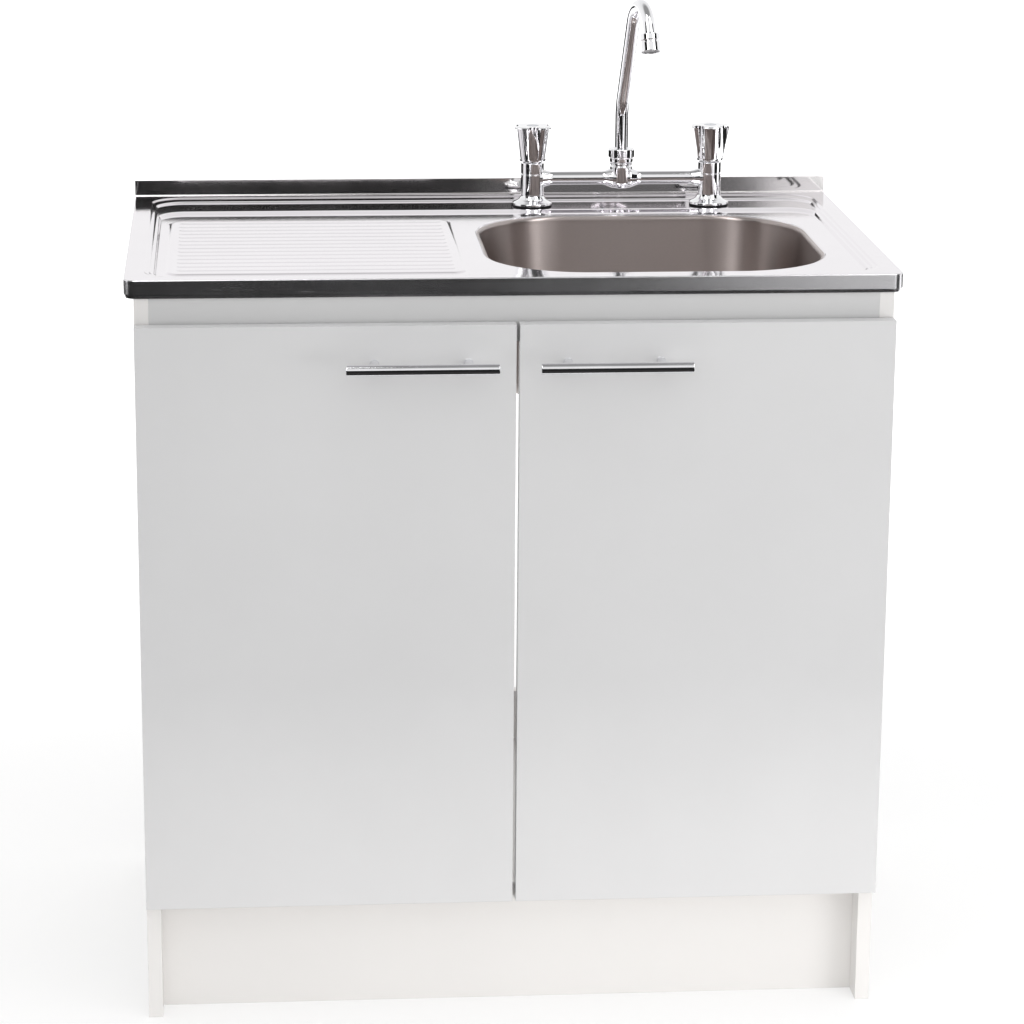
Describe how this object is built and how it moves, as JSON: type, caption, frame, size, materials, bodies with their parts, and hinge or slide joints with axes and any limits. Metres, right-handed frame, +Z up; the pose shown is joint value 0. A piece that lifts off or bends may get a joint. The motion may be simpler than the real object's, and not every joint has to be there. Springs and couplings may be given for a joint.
{
  "type": "kitchen sink unit",
  "caption": "Two-door sink base cabinet under a pressed steel top with a ribbed drainer, a bowl with lift-out basket waste, and a bridge mixer with a swivelling spout.",
  "frame": {"origin": "on the floor, under the middle of the unit's outer box", "axes": "+Z up; -Y towards the person at the sink, out of the doors; +X to that person's right, the bowl's side"},
  "size_m": [0.8, 0.55, 1.0432],
  "materials": {
    "cabinet_board": "white melamine on chipboard, satin",
    "door_board": "white melamine on chipboard, satin",
    "handle_chrome": "polished",
    "screw_zinc": "zinc plated",
    "hinge_steel": "nickel plated",
    "deck_steel": "polished stainless steel, brushed apron and upstand",
    "bowl_steel": "satin stainless steel",
    "waste_steel": "polished stainless steel",
    "black_rubber": "matt",
    "grey_plastic": "moulded",
    "brass": "machined",
    "tap_chrome": "mirror polished",
    "index_plastic": "gloss"
  },
  "bodies": {
    "cabinet": {"side_panel_left": "cabinet_board", "side_panel_right": "cabinet_board", "bottom_panel": "cabinet_board", "front_rail": "cabinet_board", "rear_rail_upper": "cabinet_board", "rear_rail_lower": "cabinet_board", "plinth": "cabinet_board", "sink_deck": "deck_steel", "sink_bowl": "bowl_steel", "waste_body": "waste_steel", "waste_gasket": "black_rubber", "waste_locknut": "grey_plastic", "waste_tail": "waste_steel", "waste_tail_nut": "grey_plastic", "mixer_body": "tap_chrome", "tap_gasket_left": "black_rubber", "tap_gasket_right": "black_rubber", "tap_backnut_left": "brass", "tap_backnut_right": "brass", "tap_bonnet_left": "tap_chrome", "tap_bonnet_right": "tap_chrome", "spout_nut": "tap_chrome", "hinge_arm_left_lower": "hinge_steel", "hinge_arm_left_upper": "hinge_steel", "hinge_arm_right_lower": "hinge_steel", "hinge_arm_right_upper": "hinge_steel", "hinge_plate_left_lower": "hinge_steel", "hinge_plate_left_upper": "hinge_steel", "hinge_plate_right_lower": "hinge_steel", "hinge_plate_right_upper": "hinge_steel"},
    "door_left_leaf": {"door_left": "door_board", "handle_left": "handle_chrome", "handle_screw_left_1": "screw_zinc", "handle_screw_left_2": "screw_zinc", "hinge_cup_left_lower": "hinge_steel", "hinge_cup_left_upper": "hinge_steel"},
    "door_right_leaf": {"door_right": "door_board", "handle_right": "handle_chrome", "handle_screw_right_1": "screw_zinc", "handle_screw_right_2": "screw_zinc", "hinge_cup_right_lower": "hinge_steel", "hinge_cup_right_upper": "hinge_steel"},
    "hinge_links_left": {"hinge_link_left_lower": "hinge_steel", "hinge_link_left_upper": "hinge_steel"},
    "hinge_links_right": {"hinge_link_right_lower": "hinge_steel", "hinge_link_right_upper": "hinge_steel"},
    "tap_handle_left": {"tap_knob_left": "tap_chrome", "tap_index_left": "index_plastic", "tap_knob_screw_left": "screw_zinc", "tap_spindle_left": "brass"},
    "tap_handle_right": {"tap_knob_right": "tap_chrome", "tap_index_right": "index_plastic", "tap_knob_screw_right": "screw_zinc", "tap_spindle_right": "brass"},
    "spout": {"spout_tube": "tap_chrome", "aerator_shell": "tap_chrome", "aerator_screen": "index_plastic"},
    "basket": {"basket_cup": "waste_steel", "basket_stopper": "black_rubber", "basket_knob": "waste_steel"}
  },
  "joints": [
    {"name": "door_left_hinge", "type": "hinge", "parent": "cabinet", "child": "door_left_leaf", "pos_m": [-0.386, -0.2315, 0.444], "axis": [0, 0, -1], "range_deg": [0, 100]},
    {"name": "door_right_hinge", "type": "hinge", "parent": "cabinet", "child": "door_right_leaf", "pos_m": [0.386, -0.2315, 0.444], "axis": [0, 0, 1], "range_deg": [0, 100]},
    {"name": "hinge_links_left_turn", "type": "hinge", "parent": "cabinet", "child": "hinge_links_left", "pos_m": [-0.37336, -0.22945, 0.444], "axis": [0, 0, -1], "range_deg": [0, 139]},
    {"name": "hinge_links_right_turn", "type": "hinge", "parent": "cabinet", "child": "hinge_links_right", "pos_m": [0.37336, -0.22945, 0.444], "axis": [0, 0, 1], "range_deg": [0, 139]},
    {"name": "tap_left_turn", "type": "hinge", "parent": "cabinet", "child": "tap_handle_left", "pos_m": [0.0524, 0.209, 0.87], "axis": [0, 0, 1], "range_deg": [0, 180]},
    {"name": "tap_right_turn", "type": "hinge", "parent": "cabinet", "child": "tap_handle_right", "pos_m": [0.2556, 0.209, 0.87], "axis": [0, 0, 1], "range_deg": [0, 180]},
    {"name": "spout_swivel", "type": "hinge", "parent": "cabinet", "child": "spout", "pos_m": [0.154, 0.209, 0.86], "axis": [0, 0, 1], "continuous": true},
    {"name": "basket_lift", "type": "slide", "parent": "cabinet", "child": "basket", "axis": [0, 0, 1], "range_m": [0, 0.22]}
  ],
  "couplings": [
    {"joint": "hinge_links_left_turn", "follows": "door_left_hinge", "ratio": 1.39},
    {"joint": "hinge_links_right_turn", "follows": "door_right_hinge", "ratio": 1.39}
  ]
}
